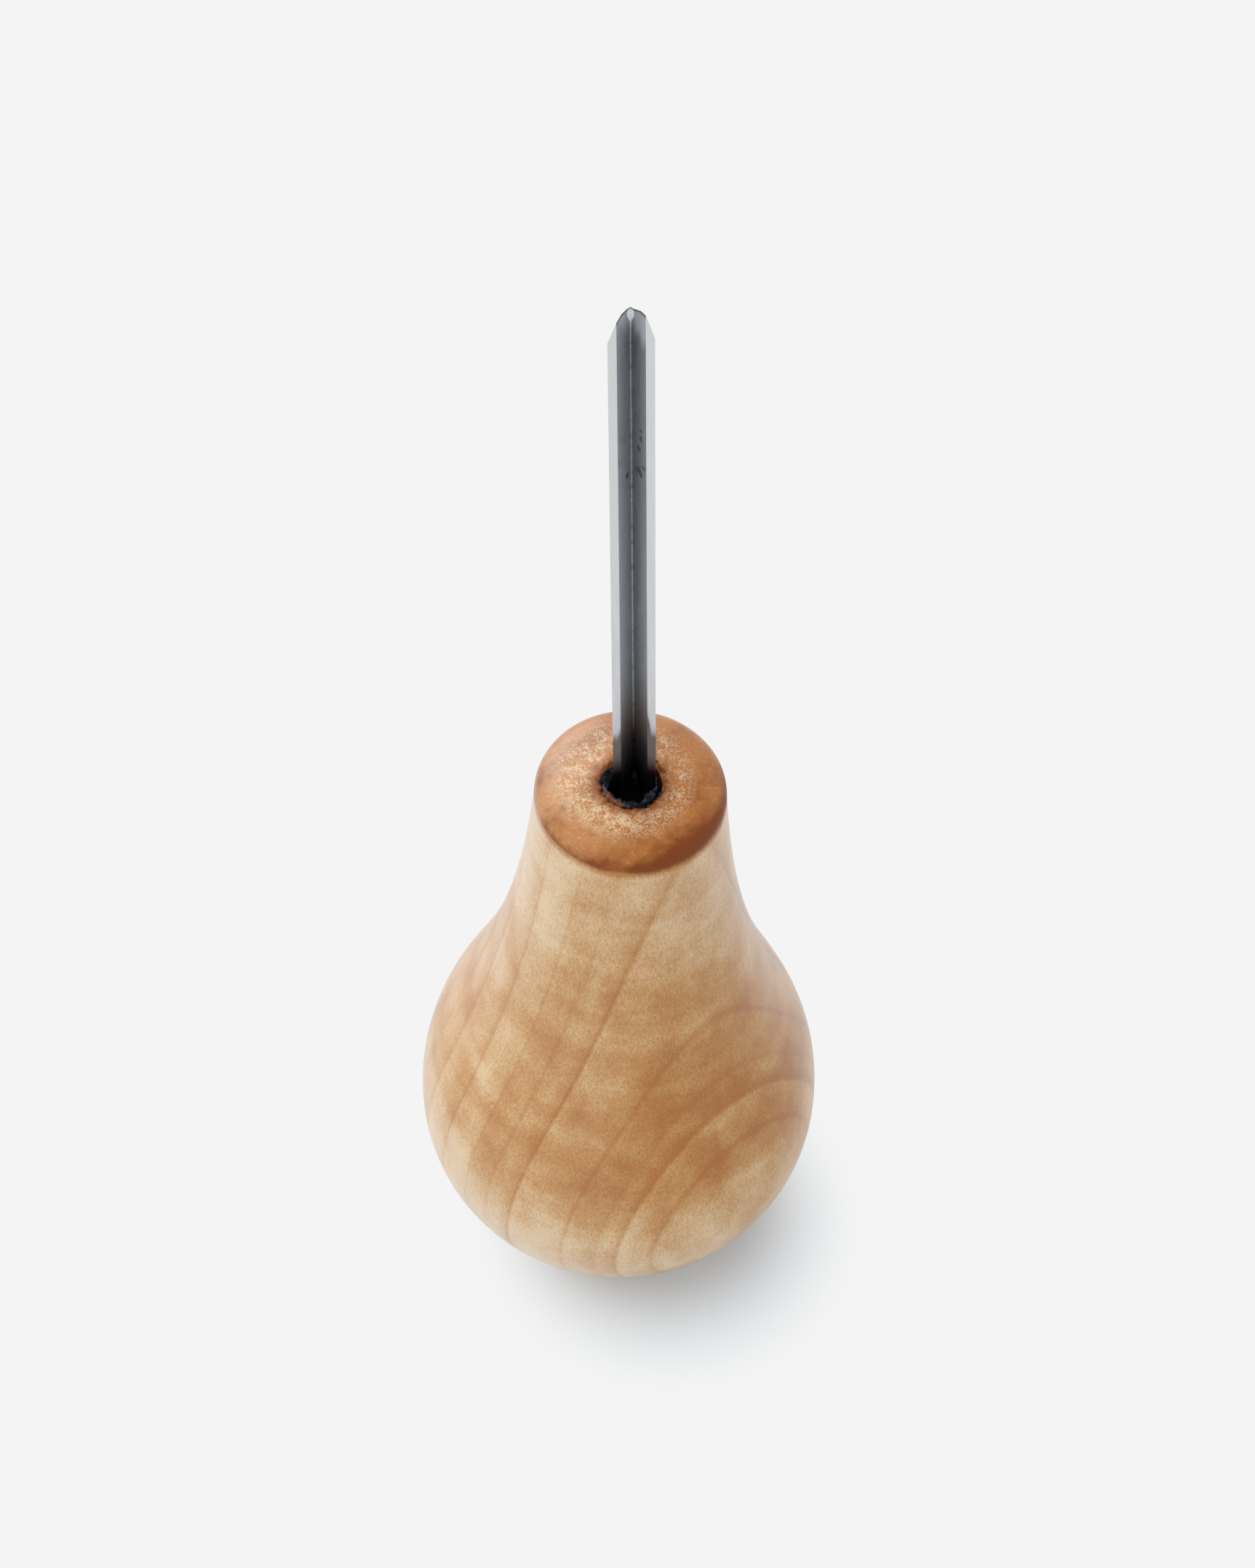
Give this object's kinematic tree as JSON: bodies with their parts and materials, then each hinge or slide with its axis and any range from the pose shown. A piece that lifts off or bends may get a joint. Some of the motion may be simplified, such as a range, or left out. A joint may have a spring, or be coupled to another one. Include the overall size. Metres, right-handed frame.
{
  "type": "palm v-tool",
  "caption": "Palm carving V-tool: pear-shaped turned wooden handle with a burnished domed end and a slim V-section steel blade whose tang is bedded in the neck.",
  "frame": {"origin": "middle of the flat on the butt, on the surface that the tool stands on", "axes": "+Z along the handle's axis towards the blade; the groove of the V opens towards -Y"},
  "size_m": [0.038, 0.038, 0.1345],
  "materials": {
    "handle_wood": "satin, oiled",
    "blade_steel": "ground rims, dark rolled groove",
    "bedding_resin": "rough, half gloss"
  },
  "bodies": {
    "root": {"handle": "handle_wood", "v_blade": "blade_steel", "tang_bedding": "bedding_resin"}
  },
  "joints": []
}
